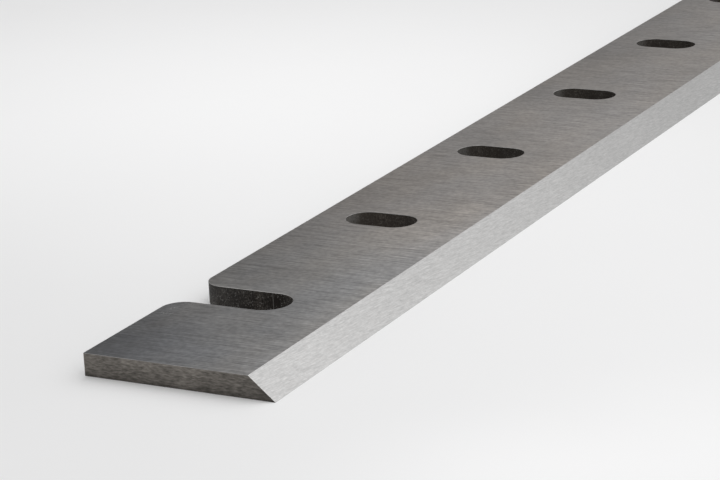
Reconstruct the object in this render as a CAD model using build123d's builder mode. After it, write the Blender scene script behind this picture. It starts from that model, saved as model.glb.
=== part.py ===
import os
from math import radians, tan

from build123d import *

# Slotted planer knife, ground all over from one flat bar of tool steel. It lies on its
# wider face: X runs across it from the square back to the cutting edge, Y runs along it
# and Z is up. The origin is the middle of the rectangle that its underside fills.
# Lengths are in millimetres and angles in degrees.

# The ground bar
thickness = 10.0
width = 89.0  # across the underside, from the back to the cutting edge
bevel_angle = 40.0  # between the underside and the bevel that makes the cutting edge

# The bolt slots, which lie across the knife so that it can be set forward as it wears
slot_count = 7  # the first and the last are open through the back, the others are closed
slot_pitch = 123.0
end_margin = 82.5  # from each end of the knife to the middle of the slot nearest to it
closed_slot_width = 20.0  # clears an 18 mm bolt
closed_slot_length = 35.0  # end to end
closed_slot_reach = 50.0  # from the back to the deepest point of a closed slot
open_slot_width = 22.5
open_slot_reach = 51.0
mouth_radius = 10.0  # rounding of the two corners where an open slot meets the back

# The broken edges: all of them but the cutting edge and those that bound the bevel
edge_break = 0.15

# Sizes that follow from those above
knife_length = 2 * end_margin + (slot_count - 1) * slot_pitch
bevel_run = thickness / tan(radians(bevel_angle))
back_x = -width / 2
cutting_edge_x = width / 2
bevel_top_x = cutting_edge_x - bevel_run
closed_slot_x = back_x + closed_slot_reach
open_slot_x = back_x + open_slot_reach
end_slot_y = knife_length / 2 - end_margin
open_slot_length = open_slot_reach + open_slot_width  # runs out past the back by the slot's width

with BuildPart() as planer_knife:
    # Bar with its bevel: the section, drawn looking along the knife, and its length
    with BuildSketch(Plane.XZ) as section:
        with BuildLine():
            Polyline(
                (back_x, 0),
                (cutting_edge_x, 0),
                (bevel_top_x, thickness),
                (back_x, thickness),
                close=True,
            )
        make_face()
    extrude(amount=knife_length / 2, both=True)

    # Closed slots, between the two open ones
    with BuildSketch(Plane.XY) as closed_slots:
        with Locations((closed_slot_x, 0)):
            with GridLocations(0, slot_pitch, 1, slot_count - 2):
                SlotOverall(closed_slot_length, closed_slot_width, align=(Align.MAX, Align.CENTER))
    extrude(amount=thickness, mode=Mode.SUBTRACT)

    # Open slots, one near each end
    with BuildSketch(Plane.XY) as open_slots:
        with Locations((open_slot_x, end_slot_y), (open_slot_x, -end_slot_y)):
            SlotOverall(open_slot_length, open_slot_width, align=(Align.MAX, Align.CENTER))
    extrude(amount=thickness, mode=Mode.SUBTRACT)

    # Rounded mouths: the upright edges on the back, without the knife's own two corners
    back_uprights = planer_knife.edges().filter_by(Axis.Z).group_by(Axis.X)[0]
    fillet(back_uprights.sort_by(Axis.Y)[1:-1], mouth_radius)

    # Broken edges: the rims of both flat faces, without the cutting edge or the bevel's top
    top_rim = planer_knife.faces().sort_by(Axis.Z)[-1].edges()
    underside_rim = planer_knife.faces().sort_by(Axis.Z)[0].edges()
    broken = top_rim.sort_by(Axis.X)[:-1] + underside_rim.sort_by(Axis.X)[:-1]
    chamfer(broken, edge_break)

planer_knife.part.label = "planer_knife"

os.makedirs("parts", exist_ok=True)
export_step(planer_knife.part, "parts/planer_knife.step")
print(f"planer knife {knife_length:g} x {width:g} x {thickness:g} mm, bevel {bevel_run:.2f} mm wide in plan")
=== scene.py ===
import math

import bpy
from mathutils import Matrix, Vector


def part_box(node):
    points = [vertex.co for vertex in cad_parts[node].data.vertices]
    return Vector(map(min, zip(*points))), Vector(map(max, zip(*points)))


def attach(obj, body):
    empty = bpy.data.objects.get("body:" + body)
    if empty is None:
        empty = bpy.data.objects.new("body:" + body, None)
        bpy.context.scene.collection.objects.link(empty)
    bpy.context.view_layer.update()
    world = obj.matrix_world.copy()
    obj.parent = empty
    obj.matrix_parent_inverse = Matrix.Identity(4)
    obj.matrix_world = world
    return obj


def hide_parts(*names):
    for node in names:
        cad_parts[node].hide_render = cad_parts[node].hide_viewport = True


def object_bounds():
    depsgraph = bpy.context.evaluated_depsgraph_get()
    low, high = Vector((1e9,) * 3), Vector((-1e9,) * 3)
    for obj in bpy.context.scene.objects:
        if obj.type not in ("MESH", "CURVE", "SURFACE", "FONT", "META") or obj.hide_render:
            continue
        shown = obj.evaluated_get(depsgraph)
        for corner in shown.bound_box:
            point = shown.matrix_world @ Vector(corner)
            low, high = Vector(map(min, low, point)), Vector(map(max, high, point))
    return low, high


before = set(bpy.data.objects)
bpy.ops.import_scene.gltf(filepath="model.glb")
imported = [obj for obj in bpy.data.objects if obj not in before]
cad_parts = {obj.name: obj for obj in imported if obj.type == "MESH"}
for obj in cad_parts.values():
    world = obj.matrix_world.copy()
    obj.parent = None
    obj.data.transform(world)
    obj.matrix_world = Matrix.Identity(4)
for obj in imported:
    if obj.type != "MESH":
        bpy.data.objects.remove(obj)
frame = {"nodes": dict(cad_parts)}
cadLow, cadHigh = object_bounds()
print("frame loaded:", ", ".join(frame["nodes"]))

mm = 0.001  # the frame is in metres, the places and sizes of the knife below are in millimetres


# helpers for nodes

def addNode(tree, kind, inputs=None, **settings):
    # one node, its settings, then each input as a link or as a plain value
    node = tree.nodes.new(kind)
    for name, value in settings.items():
        setattr(node, name, value)
    for key, value in (inputs or {}).items():
        if isinstance(value, bpy.types.NodeSocket):
            tree.links.new(value, node.inputs[key])
        else:
            node.inputs[key].default_value = value
    return node


def calc(tree, operation, *values):
    return addNode(tree, "ShaderNodeMath", dict(enumerate(values)), operation=operation).outputs[0]


def vectorCalc(tree, operation, *values, output=0):
    node = addNode(tree, "ShaderNodeVectorMath", dict(enumerate(values)), operation=operation)
    return node.outputs[output]


def axes(tree, vector):
    return addNode(tree, "ShaderNodeSeparateXYZ", {0: vector}).outputs


def ramp(tree, value, start, end, low=0.0, high=1.0, kind="SMOOTHSTEP"):
    values = {"Value": value, "From Min": start, "From Max": end, "To Min": low, "To Max": high}
    return addNode(tree, "ShaderNodeMapRange", values, interpolation_type=kind).outputs[0]


def spot(tree, place, middle, reach, inside, outside):
    # a round spot with a soft edge: one value in its middle, another past its reach
    away = vectorCalc(tree, "DISTANCE", place, middle, output="Value")
    return ramp(tree, away, 0.0, reach, inside, outside)


def blend(tree, factor, first, second):
    # the Mix node's sockets for colours are 6 and 7, and 2 gives the result
    return addNode(tree, "ShaderNodeMix", {0: factor, 6: first, 7: second}, data_type="RGBA").outputs[2]


def scaled(tree, vector, factor):
    return addNode(tree, "ShaderNodeVectorMath", {0: vector, "Scale": factor}, operation="SCALE").outputs[0]


def rgba(colour):
    return (*colour, 1)


def noiseField(tree, place, cells, detail=2.0, roughness=0.5, distortion=0.0, seed=0.0):
    values = {"Vector": vectorCalc(tree, "MULTIPLY", place, cells), "Scale": 1.0, "Detail": detail,
              "Roughness": roughness, "Distortion": distortion, "W": seed}
    return addNode(tree, "ShaderNodeTexNoise", values, noise_dimensions="4D").outputs[0]


def swing(tree, field, amount):
    # a noise field round 0.5 becomes a factor round 1; the amount is a number or a field of its own
    double = calc(tree, "MULTIPLY", amount, 2.0)
    return calc(tree, "MULTIPLY_ADD", calc(tree, "SUBTRACT", field, 0.5), double, 1.0)


def newMaterial(name):
    material = bpy.data.materials.new(name)
    material.use_nodes = True
    tree = material.node_tree
    return material, tree, tree.nodes["Principled BSDF"]


# ground steel

# Each layer is a noise field: its cells in a metre along X, Y and Z, how far it swings the colour, and
# its detail. Few cells along the lines of the grinding and many across them draw the streaks.
# Each fade is an axis (0, 1 or 2), where the fade starts and ends along it, and the factors there.
# Pinholes are sparse dark dots: the share of the cells that have one, and its size in its cell.

topFace = {
    "steel": (0.302, 0.294, 0.2865),
    "roughness": 0.36,
    "anisotropy": 0.55,
    "layers": [((60, 2600, 2600), 0.22, 2.0), ((70, 1100, 1100), 0.58, 3.0),
               ((480, 480, 480), 0.44, 2.0), ((120, 260, 260), 0.20, 2.0),
               ((26, 22, 26), 0.22, 3.0), ((22, 1100, 1100), 0.30, 2.0)],
    "bump": 4e-6,
    "pinholes": (0.035, 0.05),
    # the second layer's streaks come in patches: cells, and their strength in the faintest and boldest
    "patchy": ((22, 12, 22), 0.45, 1.4),
    # painted shade: the top is darker towards the far end
    "fades": [(1, -270.0, -170.0, 1.0, 0.91), (1, -110.0, 100.0, 1.0, 0.76)],
}
bevelFace = {
    "steel": (0.485, 0.481, 0.477),
    "roughness": 0.38,
    "anisotropy": 0.3,
    "layers": [((3000, 90, 3000), 0.12, 2.0), ((2100, 130, 2100), 0.30, 3.0),
               ((1100, 800, 1100), 0.16, 2.0), ((40, 22, 40), 0.07, 3.0)],
    "bump": 3e-6,
    "pinholes": (0.02, 0.05),
    # painted shade: the bevel is darker towards the far end
    "fades": [(1, -250.0, 50.0, 1.0, 0.93)],
}
endFace = {
    "steel": (0.177, 0.1635, 0.148),
    "roughness": 0.55,
    "anisotropy": 0.0,
    "layers": [((700, 900, 2600), 0.36, 2.0), ((400, 400, 1600), 0.90, 3.0),
               ((120, 300, 150), 0.42, 3.0)],
    "bump": 1.2e-5,
    # painted shade: darker towards the bevel, and darker towards the floor, most of all in a painted
    # contact shadow at its foot
    "fades": [(0, 0.0, 38.0, 1.0, 0.82), (2, -2.0, 11.0, 0.80, 1.08), (2, 0.0, 2.4, 0.80, 1.0)],
}
backFace = {
    "steel": (0.30, 0.295, 0.29),
    "roughness": 0.42,
    "anisotropy": 0.4,
    "layers": [((2600, 45, 2600), 0.12, 2.0), ((520, 95, 520), 0.35, 3.0), ((60, 30, 60), 0.16, 3.0)],
    "bump": 4e-6,
    "pinholes": (0.04, 0.06),
}
brokenEdge = {
    "steel": (0.30, 0.295, 0.29),
    "roughness": 0.5,
    "anisotropy": 0.0,
    "layers": [((500, 500, 500), 0.7, 3.0), ((110, 110, 110), 0.6, 2.0)],
    "bump": 1e-5,
    # painted highlight: the rims of the slots are painted paler than those of the near end, the open slot's
    # most
    "fades": [(1, -450.0, -440.0, 1.0, 1.45), (1, -330.0, -270.0, 1.0, 0.78)],
}
grinding = {
    "firstSeed": 1.3,
    "seedStep": 2.9,             # from one layer to the next
    "patchLimits": (0.3, 0.7),   # the noise's values in the faintest and the boldest patches
    "shineSwing": -0.25,         # how far the second layer swings the roughness
    "bumpStrength": 0.3,
    "pinholeCells": 520.0,       # in a metre
    "pinholeFringe": 4.0,        # a pinhole's soft edge ends at this many times its size
    "pinholeDepth": 0.5,
}


def pinholed(tree, place, share, size):
    # sparse dark dots, as a factor: one in some of the cells of a grid
    cell = addNode(tree, "ShaderNodeTexVoronoi", {"Vector": place, "Scale": grinding["pinholeCells"]},
                   feature="F1").outputs
    pick = addNode(tree, "ShaderNodeSeparateColor", {0: cell["Color"]}).outputs[0]
    dot = ramp(tree, cell["Distance"], size, size * grinding["pinholeFringe"], 1.0, 0.0)
    dot = calc(tree, "MULTIPLY", dot, calc(tree, "LESS_THAN", pick, share))
    return calc(tree, "MULTIPLY_ADD", dot, -grinding["pinholeDepth"], 1.0)


threadForm = {
    "wander": 0.6,
    "gapCells": (200, 200, 200),
    "gapLimits": (0.5, 0.62),    # the second field's values where a line ends and where it is whole
}


def threads(tree, place, cells, width, seed):
    # thin wandering lines where a noise field crosses its middle, broken up by a second field
    field = noiseField(tree, place, cells, detail=1.0, distortion=threadForm["wander"], seed=seed)
    line = ramp(tree, calc(tree, "ABSOLUTE", calc(tree, "SUBTRACT", field, 0.5)), 0.0, width, 1.0, 0.0)
    gaps = noiseField(tree, place, threadForm["gapCells"], seed=seed + 5)
    return calc(tree, "MULTIPLY", line, ramp(tree, gaps, *threadForm["gapLimits"]))


paintedShadeAndStain = {
    "cornerShade": (0.70, 0.725, 0.77),     # painted shade with a cool painted reflection tint, over the corner where the back meets the near end
    "cornerShadeReach": (30.0, 135.0),      # whole up to the first distance from the corner, gone at the second
    "cornerShadeEdge": ((40, 60, 60), 60.0),    # cells of the noise that moves its edge, and how far
    "backShade": 0.12,               # painted shade: how much darker the back is than the bevel side
    # and how much more in some stretches: from Y, to Y, added there
    "moreShade": [(-100.0, -300.0, 0.18), (-80.0, 20.0, 0.10)],
    # painted reflection, spots painted lighter and darker: X, Y, reach and how much lighter
    "places": [(24.0, -300.0, 90.0, 0.03), (12.0, -374.0, 55.0, -0.10), (-7.0, -325.0, 45.0, -0.05)],
    "warmth": (1.052, 1.0, 0.96),    # a painted warm reflection tint, of the part past the near end
    "warmLimits": (-360.0, -215.0),  # the Y where it starts and the Y where it is whole
    "patchCells": (27, 13, 27),      # of the cooler, duller patches and the warmer, paler ones
    "patchLimits": (0.32, 0.68),
    "patchTones": ((0.958, 0.977, 1.010), (1.024, 1.009, 0.993)),
    "nick": (0.62, 0.62, 0.61),
    "nicked": (-41.0, -389.5, 15.0),     # the corner of the open slot's mouth: X, Y and reach
    "nickLines": ((620, 380, 620), 0.06),
}


def shadedAndStained(tree, place, colour):
    # the painted blue-grey shade near the end, the slow painted shade from the back to the bevel, painted
    # reflection spots and tint, tone patches and nicks
    at = axes(tree, place)
    shade = paintedShadeAndStain["backShade"]
    for start, end, more in paintedShadeAndStain["moreShade"]:
        shade = calc(tree, "ADD", shade, ramp(tree, at[1], start * mm, end * mm, 0.0, more))
    factor = calc(tree, "MULTIPLY_ADD", calc(tree, "DIVIDE", at[0], cadHigh.x), shade, 1.0)
    for x, y, reach, gain in paintedShadeAndStain["places"]:
        lighter = spot(tree, place, (x * mm, y * mm, cadHigh.z), reach * mm, 1 + gain, 1.0)
        factor = calc(tree, "MULTIPLY", factor, lighter)

    warmStart, warmEnd = paintedShadeAndStain["warmLimits"]
    warm = ramp(tree, at[1], warmStart * mm, warmEnd * mm)
    warm = blend(tree, warm, rgba((1, 1, 1)), rgba(paintedShadeAndStain["warmth"]))
    corner = Vector((cadLow.x, cadLow.y, cadHigh.z))
    cells, moved = paintedShadeAndStain["cornerShadeEdge"]
    away = calc(tree, "MULTIPLY_ADD", noiseField(tree, place, cells, detail=3.0, seed=8.0), moved * mm,
                vectorCalc(tree, "DISTANCE", place, corner, output="Value"))
    whole, gone = paintedShadeAndStain["cornerShadeReach"]
    cornerShade = ramp(tree, away, whole * mm, gone * mm, 1.0, 0.0)
    tone = blend(tree, cornerShade, warm, rgba(paintedShadeAndStain["cornerShade"]))
    patches = noiseField(tree, place, paintedShadeAndStain["patchCells"], detail=3.0, seed=44.0)
    cooler, warmer = paintedShadeAndStain["patchTones"]
    patches = blend(tree, ramp(tree, patches, *paintedShadeAndStain["patchLimits"]), rgba(cooler), rgba(warmer))
    tone = vectorCalc(tree, "MULTIPLY", tone, patches)
    colour = scaled(tree, vectorCalc(tree, "MULTIPLY", colour, tone), factor)

    x, y, reach = paintedShadeAndStain["nicked"]
    cells, width = paintedShadeAndStain["nickLines"]
    nicks = calc(tree, "MULTIPLY", threads(tree, place, cells, width, 51.0),
                 spot(tree, place, (x * mm, y * mm, cadHigh.z), reach * mm, 1.0, 0.0))
    return blend(tree, nicks, colour, rgba(paintedShadeAndStain["nick"]))


def groundSteel(name, look, slant=0.0, grain=(0, 1, 0), isShadedAndStained=False):
    # the slant turns the streaks, in degrees, and the grain is the direction of the drawn-out shine
    material, tree, shader = newMaterial(name)
    place = addNode(tree, "ShaderNodeTexCoord").outputs["Object"]
    lined = place
    if slant:
        lined = addNode(tree, "ShaderNodeVectorRotate", {"Vector": place, "Angle": math.radians(slant)},
                        rotation_type="Z_AXIS").outputs[0]
    fields = []
    factor = 1.0
    for i, (cells, amount, detail) in enumerate(look["layers"]):
        seed = grinding["firstSeed"] + grinding["seedStep"] * i
        fields.append(noiseField(tree, lined, cells, detail=detail, seed=seed))
        if i == 1 and "patchy" in look:
            patchCells, faint, bold = look["patchy"]
            patches = noiseField(tree, place, patchCells, seed=31.0)
            strength = ramp(tree, patches, *grinding["patchLimits"], faint, bold)
            amount = calc(tree, "MULTIPLY", strength, amount)
        factor = calc(tree, "MULTIPLY", factor, swing(tree, fields[i], amount))
    if "pinholes" in look:
        factor = calc(tree, "MULTIPLY", factor, pinholed(tree, place, *look["pinholes"]))
    colour = scaled(tree, look["steel"], factor)
    at = axes(tree, place)
    for axis, start, end, first, last in look.get("fades", []):
        colour = scaled(tree, colour, ramp(tree, at[axis], start * mm, end * mm, first, last))
    if isShadedAndStained:
        colour = shadedAndStained(tree, place, colour)
    tree.links.new(colour, shader.inputs["Base Color"])
    shader.inputs["Metallic"].default_value = 1.0
    rough = calc(tree, "MULTIPLY", swing(tree, fields[1], grinding["shineSwing"]), look["roughness"])
    tree.links.new(rough, shader.inputs["Roughness"])
    shader.inputs["Anisotropic"].default_value = look["anisotropy"]
    tangent = addNode(tree, "ShaderNodeCombineXYZ", dict(enumerate(grain)))
    tree.links.new(tangent.outputs[0], shader.inputs["Tangent"])
    bump = addNode(tree, "ShaderNodeBump", {"Strength": grinding["bumpStrength"], "Distance": look["bump"],
                   "Height": fields[0]})
    tree.links.new(bump.outputs[0], shader.inputs["Normal"])
    return material


# dark scale on the walls of the slots

slotScale = {
    "dark": (0.0085, 0.0062, 0.0043),
    "light": (0.100, 0.089, 0.077),
    "grainCells": (1300, 1300, 1000),    # fine spots, bolder in some patches than in others
    "grainRoughness": 0.75,
    "patchCells": (150, 150, 120),
    "spotLimits": (0.46, 0.80),      # the spots' values at the dark and at the light
    "roughness": 0.62,
    "specular": 0.18,
    "bump": 6e-5,
    "bumpStrength": 0.6,
    "mouth": (0.062, 0.061, 0.059),  # paler and greyer where an open slot meets the back
    "mouthShare": 0.35,
    "mouthLimits": (8.0, 30.0),      # whole up to the first distance from the back, gone at the second
    "backGain": 1.45,                # how much paler the walls are on the back's side
    "backLimits": (18.0, 42.0),
    "closedLimits": (100.0, 140.0),  # from the near end: past these the slots are the closed ones
    "closedGain": 1.5,               # which are painted paler, as painted light, and more even
    "even": (0.027, 0.0222, 0.0182),
    "evenShare": 0.55,
    "along": (-230.0, -110.0, 0.72),     # and darken along the knife: from Y, to Y, factor
    "paintedLight": (0.26, 0.255, 0.245),  # painted light on the back round of a closed slot, which faces the bevel side
    "paintedLightShare": 0.42,
    "paintedLightLimits": (0.65, 1.0),     # how squarely the wall faces the bevel: where it starts, and its most
    "paintedLightSpots": (0.25, 0.55, 0.30),   # the spots' values where it is faint and whole, and how faint
    "thread": (0.26, 0.25, 0.24),
    "threadLines": [((260, 260, 90), 0.012, 11.0), ((120, 120, 330), 0.010, 15.0)],  # cells, width, seed
    "threadStrength": 0.6,
    "threadShare": (0.6, 0.25),      # in the open slots and in the closed ones
    "speckCells": (1500, 1500, 1200),
    "specks": (0.59, 0.68, 0.72),    # pale specks: where they start and are whole, and their strength
    "highlightLine": (-8.1, 0.22, 0.50),      # a painted highlight line where the round end starts: X, half its width, strength
}


def scaledWall(name, look):
    material, tree, shader = newMaterial(name)
    place = addNode(tree, "ShaderNodeTexCoord").outputs["Object"]
    at = axes(tree, place)
    fromBack = calc(tree, "SUBTRACT", at[0], cadLow.x)
    closedStart, closedEnd = look["closedLimits"]
    closed = ramp(tree, at[1], cadLow.y + closedStart * mm, cadLow.y + closedEnd * mm)
    opened = calc(tree, "SUBTRACT", 1.0, closed)

    # spots of scale
    grain = noiseField(tree, place, look["grainCells"], detail=3.0, roughness=look["grainRoughness"],
                       seed=6.0)
    patches = noiseField(tree, place, look["patchCells"], detail=3.0, seed=3.0)
    spots = calc(tree, "MULTIPLY", grain, calc(tree, "ADD", patches, 0.5))
    light = ramp(tree, spots, *look["spotLimits"], kind="LINEAR")
    colour = blend(tree, light, rgba(look["dark"]), rgba(look["light"]))

    # paler towards the back, painted light that makes the closed slots paler, more even in the closed
    # slots, and darker along the knife
    whole, gone = look["mouthLimits"]
    mouth = ramp(tree, fromBack, whole * mm, gone * mm, look["mouthShare"], 0.0)
    colour = blend(tree, mouth, colour, rgba(look["mouth"]))
    whole, gone = look["backLimits"]
    gain = ramp(tree, fromBack, whole * mm, gone * mm, look["backGain"], 1.0)
    gain = calc(tree, "MULTIPLY_ADD", calc(tree, "MULTIPLY", gain, closed), look["closedGain"], opened)
    colour = blend(tree, calc(tree, "MULTIPLY", closed, look["evenShare"]), colour, rgba(look["even"]))
    start, end, factor = look["along"]
    darker = ramp(tree, at[1], start * mm, end * mm, 1.0, factor)
    colour = scaled(tree, scaled(tree, colour, gain), darker)

    # painted light on the round that faces the bevel
    turned = addNode(tree, "ShaderNodeAttribute", attribute_name="wallTurn").outputs["Fac"]
    litRound = ramp(tree, turned, *look["paintedLightLimits"], 0.0, look["paintedLightShare"])
    start, end, faint = look["paintedLightSpots"]
    for factor in (closed, ramp(tree, spots, start, end, faint, 1.0), darker):
        litRound = calc(tree, "MULTIPLY", litRound, factor)
    colour = blend(tree, litRound, colour, rgba(look["paintedLight"]))

    # threads, specks and the painted highlight line
    lines = calc(tree, "MAXIMUM", *[threads(tree, place, *line) for line in look["threadLines"]])
    start, end, strength = look["specks"]
    specks = ramp(tree, noiseField(tree, place, look["speckCells"], seed=21.0), start, end, 0.0, strength)
    lines = calc(tree, "MAXIMUM", calc(tree, "MULTIPLY", lines, look["threadStrength"]), specks)
    shareOpen, shareClosed = look["threadShare"]
    share = calc(tree, "MULTIPLY_ADD", closed, shareClosed - shareOpen, shareOpen)
    colour = blend(tree, calc(tree, "MULTIPLY", lines, share), colour, rgba(look["thread"]))
    x, half, strength = look["highlightLine"]
    fromHighlightLine = calc(tree, "ABSOLUTE", calc(tree, "SUBTRACT", at[0], x * mm))
    highlightLine = calc(tree, "MULTIPLY", ramp(tree, fromHighlightLine, 0.0, half * mm, strength, 0.0), opened)
    colour = blend(tree, highlightLine, colour, rgba(look["paintedLight"]))

    tree.links.new(colour, shader.inputs["Base Color"])
    shader.inputs["Roughness"].default_value = look["roughness"]
    shader.inputs["Specular IOR Level"].default_value = look["specular"]
    bump = addNode(tree, "ShaderNodeBump", {"Strength": look["bumpStrength"], "Distance": look["bump"],
                   "Height": grain})
    tree.links.new(bump.outputs[0], shader.inputs["Normal"])
    return material


steels = {
    "top": groundSteel("steelGroundAcross", topFace, isShadedAndStained=True),
    "bevel": groundSteel("steelGroundBevel", bevelFace, slant=7, grain=(1, 0, 0)),
    "ends": groundSteel("steelSawnEnds", endFace),
    "back": groundSteel("steelGroundBack", backFace, grain=(0, 0, 1)),
    "walls": scaledWall("steelSlotScale", slotScale),
    "breaks": groundSteel("steelBrokenEdge", brokenEdge),
}
print("steels made:", ", ".join(steels))


# the knife

knife = {
    "bevelAngle": 40.0,        # degrees, between the underside and the bevel
    "closedSlots": 5,
    "slotPitch": 123.0,
    "endMargin": 82.5,         # from each end to the middle of its open slot
    "closedSlotWidth": 20.0,
    "closedSlotLength": 35.0,
    "closedSlotReach": 50.0,   # from the back to the far round end of a closed slot
    "openSlotWidth": 22.5,
    "openSlotReach": 51.0,
    "mouthRadius": 10.0,       # where an open slot meets the back
    "edgeBreak": 0.15,
    "cornerRadius": 0.3,       # upright corners of the bar, at the back
    "arcSteps": 22,            # points in each quarter turn
    "cornerSteps": 5,
    "breakSteps": 4,
}
faceLimits = {
    "merge": 0.008,      # points nearer to each other than this become one
    "edge": 1.0,         # how near to the side of the cutting edge the points that lean back lie
    "end": 0.5,          # how near to an end and to the back their own faces lie
    "back": 0.01,
    "wall": 0.01,        # how much of the normal points up, at most on a wall and at least on a flat face
    "flat": 0.999,
    "bevel": 0.5,        # how much of it points across, at least on the bevel
    "wideArea": 40.0,    # square millimetres, of which the small facets of an arc have less
    "sameAngle": 0.3,    # degrees between two faces that count as one
}


def planOfKnife(low, high):
    # corners of the bar with its two open slots, each with its rounding, the steel on the left hand
    half = knife["openSlotWidth"] * mm / 2
    corner, mouth = knife["cornerRadius"] * mm, knife["mouthRadius"] * mm
    deepX = low.x + knife["openSlotReach"] * mm
    slotY = high.y - knife["endMargin"] * mm
    points = [(low.x, low.y, corner), (high.x, low.y, 0), (high.x, high.y, 0), (low.x, high.y, corner)]
    for y in (slotY, -slotY):
        points += [(low.x, y + half, mouth), (deepX, y + half, half)]
        points += [(deepX, y - half, half), (low.x, y - half, mouth)]
    count = len(points)
    mesh = bpy.data.meshes.new("knifePlan")
    mesh.from_pydata([(x, y, 0) for x, y, r in points], [(i, (i + 1) % count) for i in range(count)], [])
    steps = [knife["arcSteps"] if r > corner else knife["cornerSteps"] if r else 1 for x, y, r in points]
    mesh.attributes.new("rounding", "FLOAT", "POINT").data.foreach_set("value", [r for x, y, r in points])
    mesh.attributes.new("steps", "INT", "POINT").data.foreach_set("value", steps)
    mesh.materials.append(steels["breaks"])
    return mesh


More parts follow.
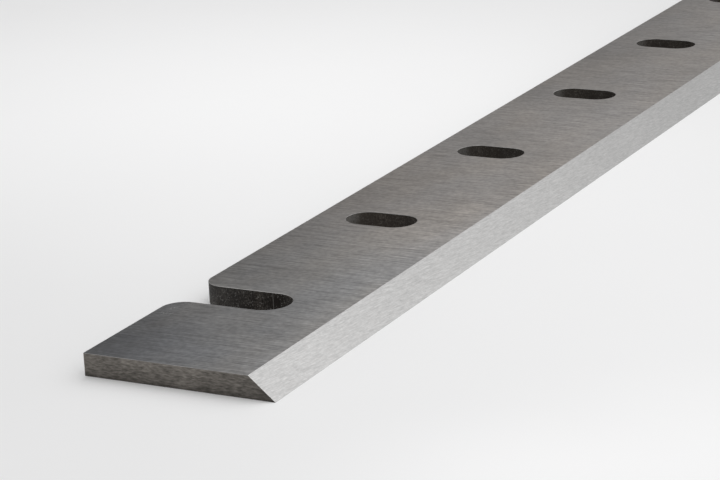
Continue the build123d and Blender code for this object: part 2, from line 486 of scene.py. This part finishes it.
def knifeTree(halfLength):
    tree = bpy.data.node_groups.new("knifeFromPlan", "GeometryNodeTree")
    tree.interface.new_socket("Plan", in_out="INPUT", socket_type="NodeSocketGeometry")
    for name in ("Width", "Thickness", "Bevel Run", "Edge Break", "Slot Pitch", "Slot Width", "Slot Length",
                 "First Slot X", "First Slot Y"):
        tree.interface.new_socket(name, in_out="INPUT", socket_type="NodeSocketFloat")
    for name in ("Closed Slots", "Arc Steps", "Break Steps"):
        tree.interface.new_socket(name, in_out="INPUT", socket_type="NodeSocketInt")
    for name in steels:
        tree.interface.new_socket(name, in_out="INPUT", socket_type="NodeSocketMaterial")
    tree.interface.new_socket("Knife", in_out="OUTPUT", socket_type="NodeSocketGeometry")
    given = addNode(tree, "NodeGroupInput").outputs

    def geo(kind, inputs, **settings):
        return addNode(tree, "GeometryNode" + kind, inputs, **settings).outputs[0]

    def vec(x=0.0, y=0.0, z=0.0):
        return addNode(tree, "ShaderNodeCombineXYZ", {0: x, 1: y, 2: z}).outputs[0]

    def rounded(curve, steps, radius):
        return geo("FilletCurve", {"Curve": curve, "Count": steps, "Radius": radius, "Limit Radius": False},
                   mode="POLY")

    def joined(*parts):
        join = addNode(tree, "GeometryNodeJoinGeometry")
        for part in parts:
            tree.links.new(part, join.inputs[0])
        return join.outputs[0]

    # the outline, rounded at its corners, and the row of closed slots
    corners = geo("MeshToCurve", {"Mesh": given["Plan"]})
    rounding = geo("InputNamedAttribute", {"Name": "rounding"}, data_type="FLOAT")
    steps = geo("InputNamedAttribute", {"Name": "steps"}, data_type="INT")
    outline = rounded(corners, steps, rounding)
    slot = geo("CurvePrimitiveQuadrilateral", {"Width": given["Slot Length"],
               "Height": given["Slot Width"]})
    slot = rounded(slot, given["Arc Steps"], calc(tree, "DIVIDE", given["Slot Width"], 2.0))
    slot = geo("ReverseCurve", {"Curve": slot})
    row = geo("MeshLine", {"Count": given["Closed Slots"], "Offset": vec(y=given["Slot Pitch"]),
              "Start Location": vec(given["First Slot X"], given["First Slot Y"])})
    slots = geo("RealizeInstances", {0: geo("InstanceOnPoints", {"Points": row, "Instance": slot})})
    plan = geo("SetCurveNormal", {"Curve": joined(outline, slots)}, mode="Z_UP")

    # the edge form, from the underside's rim over the wall to the top's rim: points 0 and 3 are the rims,
    # points 2 and 3 the upper ones, and the two in the middle are rounded. Its X points out of the steel
    # and its Y down.
    index = geo("InputIndex", {})
    outer = calc(tree, "GREATER_THAN", calc(tree, "ABSOLUTE", calc(tree, "SUBTRACT", index, 1.5)), 1.0)
    upper = calc(tree, "GREATER_THAN", index, 1.5)
    inset = calc(tree, "MULTIPLY", given["Edge Break"], -1.0)
    raised = calc(tree, "MULTIPLY", given["Thickness"], -1.0)
    form = geo("SetPosition", {"Geometry": geo("MeshLine", {"Count": 4}), "Position": vec(
        calc(tree, "MULTIPLY", outer, inset), calc(tree, "MULTIPLY", upper, raised))})
    form = rounded(geo("MeshToCurve", {"Mesh": form}), given["Break Steps"], given["Edge Break"])
    walls = geo("FlipFaces", {"Mesh": geo("CurveToMesh", {"Curve": plan, "Profile Curve": form})})

    # the two flat faces, filled inside the broken rims
    rim = geo("SetPosition", {"Geometry": plan, "Offset": scaled(tree, geo("InputNormal", {}), inset)})
    flat = geo("FillCurve", {"Curve": rim}, mode="TRIANGLES")
    lifted = geo("Transform", {"Geometry": flat, "Translation": vec(z=given["Thickness"])})
    body = joined(walls, lifted, geo("FlipFaces", {"Mesh": flat}))

    # the bevel: the wall on the cutting side leans back as it rises
    where = axes(tree, geo("InputPosition", {}))
    edgeX = calc(tree, "DIVIDE", given["Width"], 2.0)
    slope = calc(tree, "DIVIDE", given["Bevel Run"], given["Thickness"])
    leanX = calc(tree, "SUBTRACT", edgeX, calc(tree, "MULTIPLY", where[2], slope))
    atEdge = calc(tree, "GREATER_THAN", where[0], calc(tree, "SUBTRACT", edgeX, faceLimits["edge"] * mm))
    body = geo("SetPosition", {"Geometry": body, "Position": vec(leanX, where[1], where[2]),
               "Selection": atEdge})
    body = geo("MergeByDistance", {"Geometry": body, "Distance": faceLimits["merge"] * mm})

    # each kind of face gets its own steel, told apart by where it lies and how it faces
    body = geo("RealizeInstances", {0: body})
    facing = axes(tree, geo("InputNormal", {}))
    flatness = calc(tree, "ABSOLUTE", facing[2])
    upright = calc(tree, "LESS_THAN", flatness, faceLimits["wall"])
    level = calc(tree, "GREATER_THAN", flatness, faceLimits["flat"])
    endY = halfLength - faceLimits["end"] * mm
    atEnd = calc(tree, "GREATER_THAN", calc(tree, "ABSOLUTE", where[1]), endY)
    backX = calc(tree, "MULTIPLY_ADD", given["Width"], -0.5, faceLimits["back"] * mm)
    atBack = calc(tree, "LESS_THAN", where[0], backX)
    across = calc(tree, "GREATER_THAN", facing[0], faceLimits["bevel"])
    pastTop = calc(tree, "GREATER_THAN", where[0], calc(tree, "SUBTRACT", edgeX, given["Bevel Run"]))
    body = geo("StoreNamedAttribute", {"Geometry": body, "Name": "wallTurn", "Value": facing[0]},
               domain="FACE")
    body = geo("SetMaterial", {"Geometry": body, "Material": given["breaks"]})
    chosen = {
        "walls": upright,
        "back": calc(tree, "MULTIPLY", upright, atBack),
        "ends": calc(tree, "MULTIPLY", upright, atEnd),
        "top": level,
        "bevel": calc(tree, "MULTIPLY", across, pastTop),
    }
    for name, selection in chosen.items():
        body = geo("SetMaterial", {"Geometry": body, "Selection": selection, "Material": given[name]})
    tree.links.new(body, addNode(tree, "NodeGroupOutput").inputs[0])
    return tree


def makeKnife():
    low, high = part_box("planer_knife")
    thickness = high.z - low.z
    plan = bpy.data.objects.new("knifePlan", planOfKnife(low, high))
    bpy.context.scene.collection.objects.link(plan)
    tree = knifeTree(high.y)
    modifier = plan.modifiers.new("knifeFromPlan", "NODES")
    modifier.node_group = tree
    values = {
        "Width": high.x - low.x,
        "Thickness": thickness,
        "Bevel Run": thickness / math.tan(math.radians(knife["bevelAngle"])),
        "Slot Pitch": knife["slotPitch"] * mm,
        "Slot Width": knife["closedSlotWidth"] * mm,
        "Slot Length": knife["closedSlotLength"] * mm,
        "First Slot X": low.x + (knife["closedSlotReach"] - knife["closedSlotLength"] / 2) * mm,
        "First Slot Y": low.y + (knife["endMargin"] + knife["slotPitch"]) * mm,
        "Edge Break": knife["edgeBreak"] * mm,
        "Closed Slots": knife["closedSlots"],
        "Arc Steps": knife["arcSteps"],
        "Break Steps": knife["breakSteps"],
        **steels,
    }
    for item in tree.interface.items_tree:
        if item.item_type == "SOCKET" and item.in_out == "INPUT" and item.name in values:
            modifier[item.identifier] = values[item.name]
    made = plan.evaluated_get(bpy.context.evaluated_depsgraph_get())
    mesh = bpy.data.meshes.new_from_object(made)
    while None in list(mesh.materials):     # the tree leaves an empty slot
        mesh.materials.pop(index=list(mesh.materials).index(None))
    piece = bpy.data.objects.new("groundKnife", mesh)
    bpy.context.scene.collection.objects.link(piece)
    bpy.data.objects.remove(plan)
    return piece


def shadeKnife(mesh):
    # arcs and broken edges shade smoothly, a wide flat face keeps its own normal
    wide = faceLimits["wideArea"] * mm * mm
    same = math.radians(faceLimits["sameAngle"])
    mesh.polygons.foreach_set("use_smooth", [True] * len(mesh.polygons))
    beside = {}
    for face in mesh.polygons:
        for key in face.edge_keys:
            beside.setdefault(key, []).append(face)
    for edge in mesh.edges:
        faces = beside.get(edge.key, [])
        if len(faces) == 2:
            a, b = faces
            turned = a.normal.angle(b.normal, 0) > same
            differ = a.material_index != b.material_index
            edge.use_edge_sharp = turned and (differ or max(a.area, b.area) > wide)


piece = makeKnife()
shadeKnife(piece.data)
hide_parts("planer_knife")
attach(piece, "root")
print("knife made:", len(piece.data.polygons), "faces")


# floor, light and camera

# Here places and reaches are in metres and angles in degrees. A pan goes from +Y towards -X.

studio = {
    "floor": (0.822, 0.822, 0.824),
    "floorSize": 30.0,
    "floorRoughness": 0.75,
    "floorSpecular": 0.2,
    "uneven": ((9, 9, 9), 0.012),    # cells and strength of the floor's faint unevenness
    # painted pools of light on the floor: X, Y, reach and how much paler
    "paintedLightPools": [(0.30, -0.30, 0.55, 0.16), (-0.18, -0.02, 0.45, 0.205), (0.22, -0.455, 0.13, 0.08),
                  (0.15, -0.50, 0.09, 0.06)],
    "sky": 0.66,
    # soft dark and bright places: pan, tilt, inner and outer angle, how much taller than wide, and how
    # much light is added, as a share of the sky
    "places": [(50.0, 8.0, 12.0, 40.0, 1.6, -0.90), (0.0, 3.0, 15.0, 36.0, 1.0, -0.76),
               (0.0, 52.0, 15.0, 72.0, 1.0, 1.42)],
}
camera = {
    "place": (0.5357, -1.2970, 0.3690),
    "pan": 28.03,
    "tilt": -17.27,
    "roll": -2.817,
    "lens": 132.7,     # on a sensor this wide, both in millimetres
    "sensor": 36.0,
    "clip": (0.05, 60.0),
}


def makeFloor():
    half = studio["floorSize"] / 2
    corners = [(-half, -half, 0), (half, -half, 0), (half, half, 0), (-half, half, 0)]
    mesh = bpy.data.meshes.new("floor")
    mesh.from_pydata(corners, [], [(0, 1, 2, 3)])
    floor = bpy.data.objects.new("floor", mesh)
    bpy.context.scene.collection.objects.link(floor)
    material, tree, shader = newMaterial("paleFloor")
    place = addNode(tree, "ShaderNodeTexCoord").outputs["Object"]
    cells, strength = studio["uneven"]
    paler = swing(tree, noiseField(tree, place, cells, detail=3.0, seed=2.0), strength)
    for x, y, reach, gain in studio["paintedLightPools"]:
        paler = calc(tree, "ADD", paler, spot(tree, place, (x, y, 0), reach, gain, 0.0))
    tree.links.new(scaled(tree, studio["floor"], paler), shader.inputs["Base Color"])
    shader.inputs["Roughness"].default_value = studio["floorRoughness"]
    shader.inputs["Specular IOR Level"].default_value = studio["floorSpecular"]
    mesh.materials.append(material)


def aim(pan, tilt):
    pan, tilt = math.radians(pan), math.radians(tilt)
    return Vector((-math.sin(pan) * math.cos(tilt), math.cos(pan) * math.cos(tilt), math.sin(tilt)))


def makeSky():
    world = bpy.data.worlds.new("studio")
    bpy.context.scene.world = world
    world.use_nodes = True
    tree = world.node_tree
    tree.nodes.clear()
    direction = addNode(tree, "ShaderNodeTexCoord").outputs["Generated"]
    glow = studio["sky"]
    for pan, tilt, inner, outer, tall, added in studio["places"]:
        squash = Vector((1, 1, 1 / tall))
        middle = (aim(pan, tilt) * squash).normalized()
        flatter = vectorCalc(tree, "NORMALIZE", vectorCalc(tree, "MULTIPLY", direction, squash))
        angle = calc(tree, "ARCCOSINE", vectorCalc(tree, "DOT_PRODUCT", flatter, middle, output="Value"))
        lit = ramp(tree, angle, math.radians(inner), math.radians(outer), 1 + added, 1.0)
        glow = calc(tree, "MULTIPLY", lit, glow)
    background = addNode(tree, "ShaderNodeBackground", {"Color": (1, 1, 1, 1), "Strength": glow})
    output = addNode(tree, "ShaderNodeOutputWorld")
    tree.links.new(background.outputs[0], output.inputs[0])


def makeCamera():
    data = bpy.data.cameras.new("camera")
    data.sensor_width = camera["sensor"]
    data.lens = camera["lens"]
    data.clip_start, data.clip_end = camera["clip"]
    viewer = bpy.data.objects.new("camera", data)
    bpy.context.scene.collection.objects.link(viewer)
    turn = (Matrix.Rotation(math.radians(camera["pan"]), 4, "Z")
            @ Matrix.Rotation(math.radians(90 + camera["tilt"]), 4, "X")
            @ Matrix.Rotation(math.radians(camera["roll"]), 4, "Z"))
    viewer.matrix_world = Matrix.Translation(camera["place"]) @ turn
    bpy.context.scene.camera = viewer


makeFloor()
makeSky()
makeCamera()
bpy.context.scene.view_settings.view_transform = "Standard"
print("studio ready")
